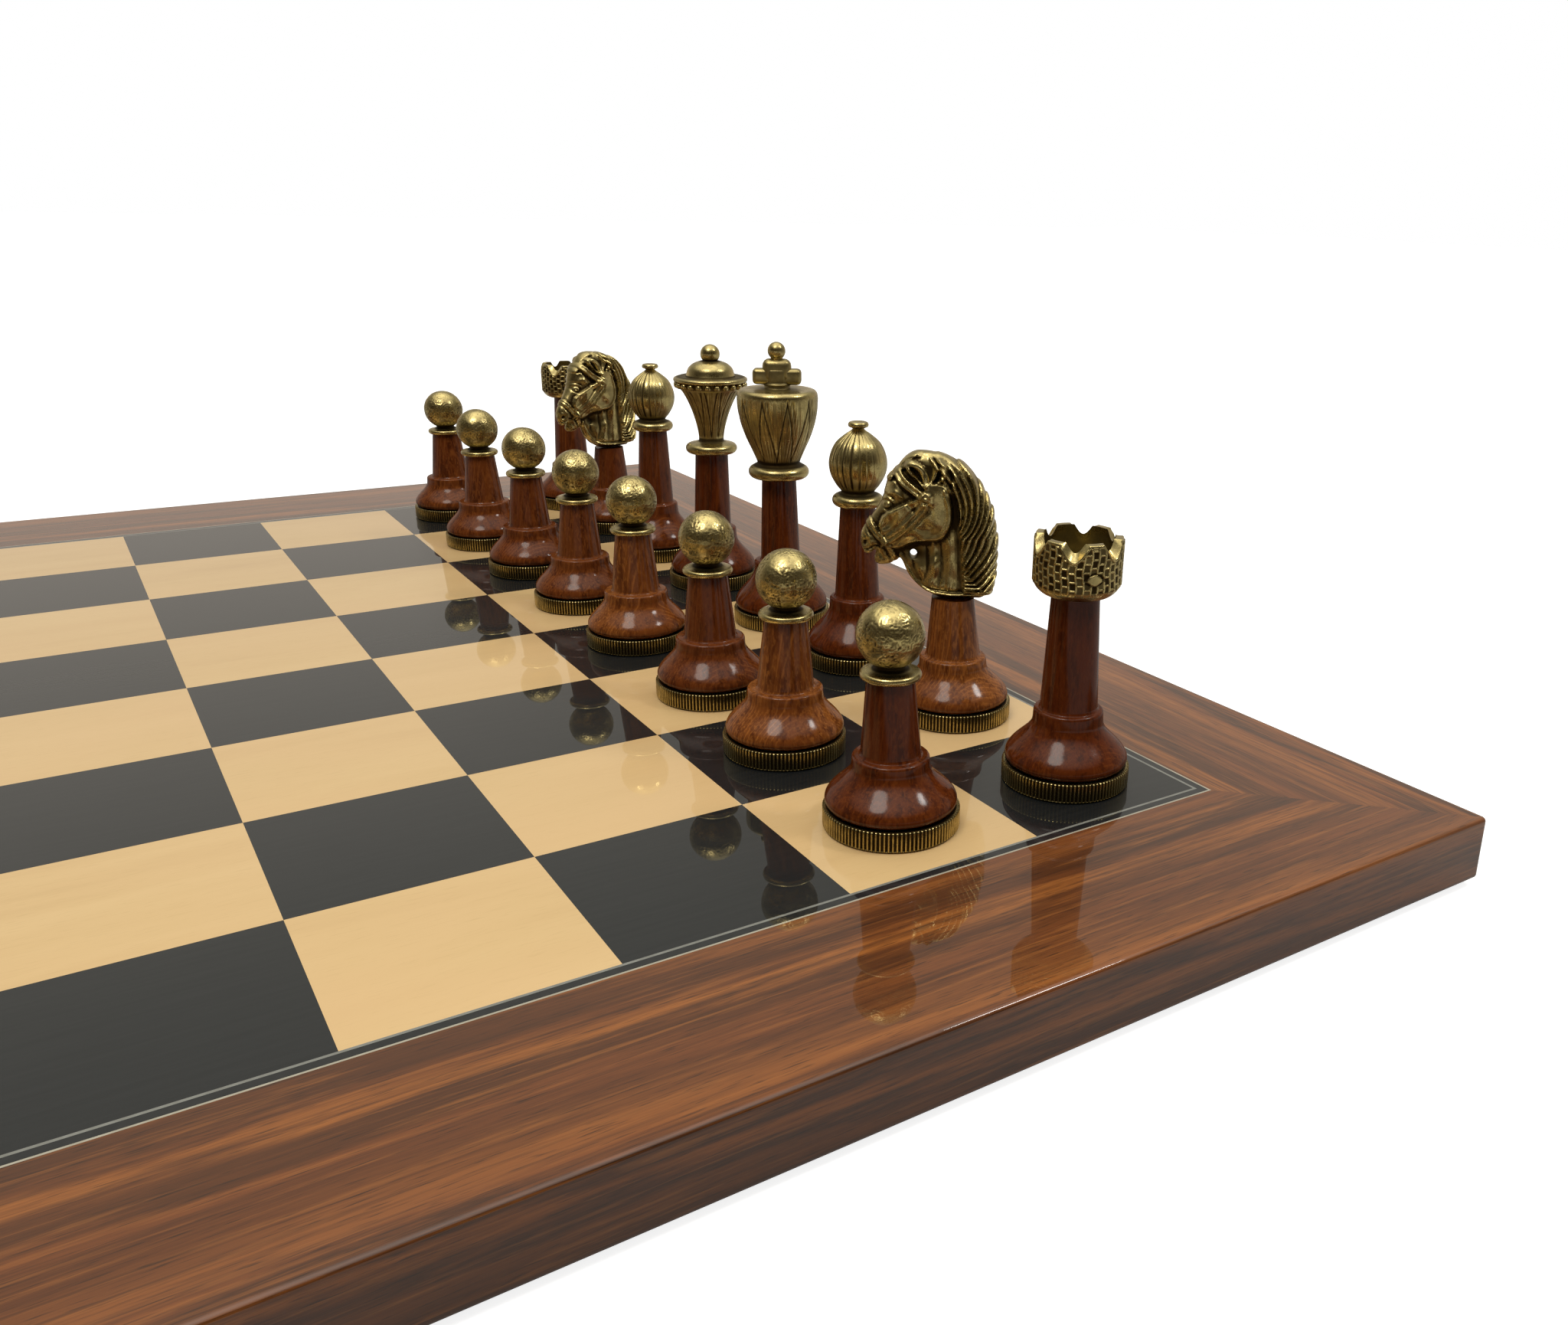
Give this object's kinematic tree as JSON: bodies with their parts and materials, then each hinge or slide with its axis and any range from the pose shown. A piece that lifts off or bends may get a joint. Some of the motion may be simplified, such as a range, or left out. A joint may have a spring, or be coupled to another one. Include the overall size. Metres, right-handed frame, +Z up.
{
  "type": "chess set with board",
  "caption": "Inlaid wooden chessboard with a mitred rosewood border, and opposing armies of turned wooden men with cast brass heads that lift off their squares.",
  "frame": {"origin": "centre of the board's underside, on the surface it stands on", "axes": "+X from the light army's end to the dark army's end, +Y from the h file to the a file, +Z up"},
  "size_m": [0.5, 0.5, 0.1115],
  "materials": {
    "dark_wood": "glossy reddish lacquer",
    "light_wood": "glossy clear lacquer",
    "antique_brass": "polished high spots, dark patina in the recesses",
    "maple_veneer": "mirror-gloss lacquer",
    "black_stringing": "mirror-gloss lacquer",
    "rosewood": "mirror-gloss lacquer",
    "panel": "raw fibreboard",
    "green_felt": "felt"
  },
  "bodies": {
    "board": {"base_backing": "green_felt", "board_core": "panel", "playing_field": "maple_veneer", "inlay_band": "black_stringing", "border_front": "rosewood", "border_right": "rosewood", "border_back": "rosewood", "border_left": "rosewood"},
    "dark_rook_h": {"dark_rook_h_body": "dark_wood", "dark_rook_h_head": "antique_brass"},
    "dark_pawn_h": {"dark_pawn_h_body": "dark_wood", "dark_pawn_h_head": "antique_brass"},
    "dark_knight_g": {"dark_knight_g_body": "dark_wood", "dark_knight_g_head": "antique_brass"},
    "dark_pawn_g": {"dark_pawn_g_body": "dark_wood", "dark_pawn_g_head": "antique_brass"},
    "dark_bishop_f": {"dark_bishop_f_body": "dark_wood", "dark_bishop_f_head": "antique_brass"},
    "dark_pawn_f": {"dark_pawn_f_body": "dark_wood", "dark_pawn_f_head": "antique_brass"},
    "dark_king_e": {"dark_king_e_body": "dark_wood", "dark_king_e_head": "antique_brass"},
    "dark_pawn_e": {"dark_pawn_e_body": "dark_wood", "dark_pawn_e_head": "antique_brass"},
    "dark_queen_d": {"dark_queen_d_body": "dark_wood", "dark_queen_d_head": "antique_brass"},
    "dark_pawn_d": {"dark_pawn_d_body": "dark_wood", "dark_pawn_d_head": "antique_brass"},
    "dark_bishop_c": {"dark_bishop_c_body": "dark_wood", "dark_bishop_c_head": "antique_brass"},
    "dark_pawn_c": {"dark_pawn_c_body": "dark_wood", "dark_pawn_c_head": "antique_brass"},
    "dark_knight_b": {"dark_knight_b_body": "dark_wood", "dark_knight_b_head": "antique_brass"},
    "dark_pawn_b": {"dark_pawn_b_body": "dark_wood", "dark_pawn_b_head": "antique_brass"},
    "dark_rook_a": {"dark_rook_a_body": "dark_wood", "dark_rook_a_head": "antique_brass"},
    "dark_pawn_a": {"dark_pawn_a_body": "dark_wood", "dark_pawn_a_head": "antique_brass"},
    "light_rook_h": {"light_rook_h": "light_wood"},
    "light_pawn_h": {"light_pawn_h": "light_wood"},
    "light_knight_g": {"light_knight_g": "light_wood"},
    "light_pawn_g": {"light_pawn_g": "light_wood"},
    "light_bishop_f": {"light_bishop_f": "light_wood"},
    "light_pawn_f": {"light_pawn_f": "light_wood"},
    "light_king_e": {"light_king_e": "light_wood"},
    "light_pawn_e": {"light_pawn_e": "light_wood"},
    "light_queen_d": {"light_queen_d": "light_wood"},
    "light_pawn_d": {"light_pawn_d": "light_wood"},
    "light_bishop_c": {"light_bishop_c": "light_wood"},
    "light_pawn_c": {"light_pawn_c": "light_wood"},
    "light_knight_b": {"light_knight_b": "light_wood"},
    "light_pawn_b": {"light_pawn_b": "light_wood"},
    "light_rook_a": {"light_rook_a": "light_wood"},
    "light_pawn_a": {"light_pawn_a": "light_wood"}
  },
  "joints": [
    {"name": "dark_rook_h_lift", "type": "slide", "parent": "board", "child": "dark_rook_h", "axis": [0, 0, 1], "range_m": [0, 0.1]},
    {"name": "dark_pawn_h_lift", "type": "slide", "parent": "board", "child": "dark_pawn_h", "axis": [0, 0, 1], "range_m": [0, 0.1]},
    {"name": "dark_knight_g_lift", "type": "slide", "parent": "board", "child": "dark_knight_g", "axis": [0, 0, 1], "range_m": [0, 0.1]},
    {"name": "dark_pawn_g_lift", "type": "slide", "parent": "board", "child": "dark_pawn_g", "axis": [0, 0, 1], "range_m": [0, 0.1]},
    {"name": "dark_bishop_f_lift", "type": "slide", "parent": "board", "child": "dark_bishop_f", "axis": [0, 0, 1], "range_m": [0, 0.1]},
    {"name": "dark_pawn_f_lift", "type": "slide", "parent": "board", "child": "dark_pawn_f", "axis": [0, 0, 1], "range_m": [0, 0.1]},
    {"name": "dark_king_e_lift", "type": "slide", "parent": "board", "child": "dark_king_e", "axis": [0, 0, 1], "range_m": [0, 0.1]},
    {"name": "dark_pawn_e_lift", "type": "slide", "parent": "board", "child": "dark_pawn_e", "axis": [0, 0, 1], "range_m": [0, 0.1]},
    {"name": "dark_queen_d_lift", "type": "slide", "parent": "board", "child": "dark_queen_d", "axis": [0, 0, 1], "range_m": [0, 0.1]},
    {"name": "dark_pawn_d_lift", "type": "slide", "parent": "board", "child": "dark_pawn_d", "axis": [0, 0, 1], "range_m": [0, 0.1]},
    {"name": "dark_bishop_c_lift", "type": "slide", "parent": "board", "child": "dark_bishop_c", "axis": [0, 0, 1], "range_m": [0, 0.1]},
    {"name": "dark_pawn_c_lift", "type": "slide", "parent": "board", "child": "dark_pawn_c", "axis": [0, 0, 1], "range_m": [0, 0.1]},
    {"name": "dark_knight_b_lift", "type": "slide", "parent": "board", "child": "dark_knight_b", "axis": [0, 0, 1], "range_m": [0, 0.1]},
    {"name": "dark_pawn_b_lift", "type": "slide", "parent": "board", "child": "dark_pawn_b", "axis": [0, 0, 1], "range_m": [0, 0.1]},
    {"name": "dark_rook_a_lift", "type": "slide", "parent": "board", "child": "dark_rook_a", "axis": [0, 0, 1], "range_m": [0, 0.1]},
    {"name": "dark_pawn_a_lift", "type": "slide", "parent": "board", "child": "dark_pawn_a", "axis": [0, 0, 1], "range_m": [0, 0.1]},
    {"name": "light_rook_h_lift", "type": "slide", "parent": "board", "child": "light_rook_h", "axis": [0, 0, 1], "range_m": [0, 0.1]},
    {"name": "light_pawn_h_lift", "type": "slide", "parent": "board", "child": "light_pawn_h", "axis": [0, 0, 1], "range_m": [0, 0.1]},
    {"name": "light_knight_g_lift", "type": "slide", "parent": "board", "child": "light_knight_g", "axis": [0, 0, 1], "range_m": [0, 0.1]},
    {"name": "light_pawn_g_lift", "type": "slide", "parent": "board", "child": "light_pawn_g", "axis": [0, 0, 1], "range_m": [0, 0.1]},
    {"name": "light_bishop_f_lift", "type": "slide", "parent": "board", "child": "light_bishop_f", "axis": [0, 0, 1], "range_m": [0, 0.1]},
    {"name": "light_pawn_f_lift", "type": "slide", "parent": "board", "child": "light_pawn_f", "axis": [0, 0, 1], "range_m": [0, 0.1]},
    {"name": "light_king_e_lift", "type": "slide", "parent": "board", "child": "light_king_e", "axis": [0, 0, 1], "range_m": [0, 0.1]},
    {"name": "light_pawn_e_lift", "type": "slide", "parent": "board", "child": "light_pawn_e", "axis": [0, 0, 1], "range_m": [0, 0.1]},
    {"name": "light_queen_d_lift", "type": "slide", "parent": "board", "child": "light_queen_d", "axis": [0, 0, 1], "range_m": [0, 0.1]},
    {"name": "light_pawn_d_lift", "type": "slide", "parent": "board", "child": "light_pawn_d", "axis": [0, 0, 1], "range_m": [0, 0.1]},
    {"name": "light_bishop_c_lift", "type": "slide", "parent": "board", "child": "light_bishop_c", "axis": [0, 0, 1], "range_m": [0, 0.1]},
    {"name": "light_pawn_c_lift", "type": "slide", "parent": "board", "child": "light_pawn_c", "axis": [0, 0, 1], "range_m": [0, 0.1]},
    {"name": "light_knight_b_lift", "type": "slide", "parent": "board", "child": "light_knight_b", "axis": [0, 0, 1], "range_m": [0, 0.1]},
    {"name": "light_pawn_b_lift", "type": "slide", "parent": "board", "child": "light_pawn_b", "axis": [0, 0, 1], "range_m": [0, 0.1]},
    {"name": "light_rook_a_lift", "type": "slide", "parent": "board", "child": "light_rook_a", "axis": [0, 0, 1], "range_m": [0, 0.1]},
    {"name": "light_pawn_a_lift", "type": "slide", "parent": "board", "child": "light_pawn_a", "axis": [0, 0, 1], "range_m": [0, 0.1]}
  ]
}
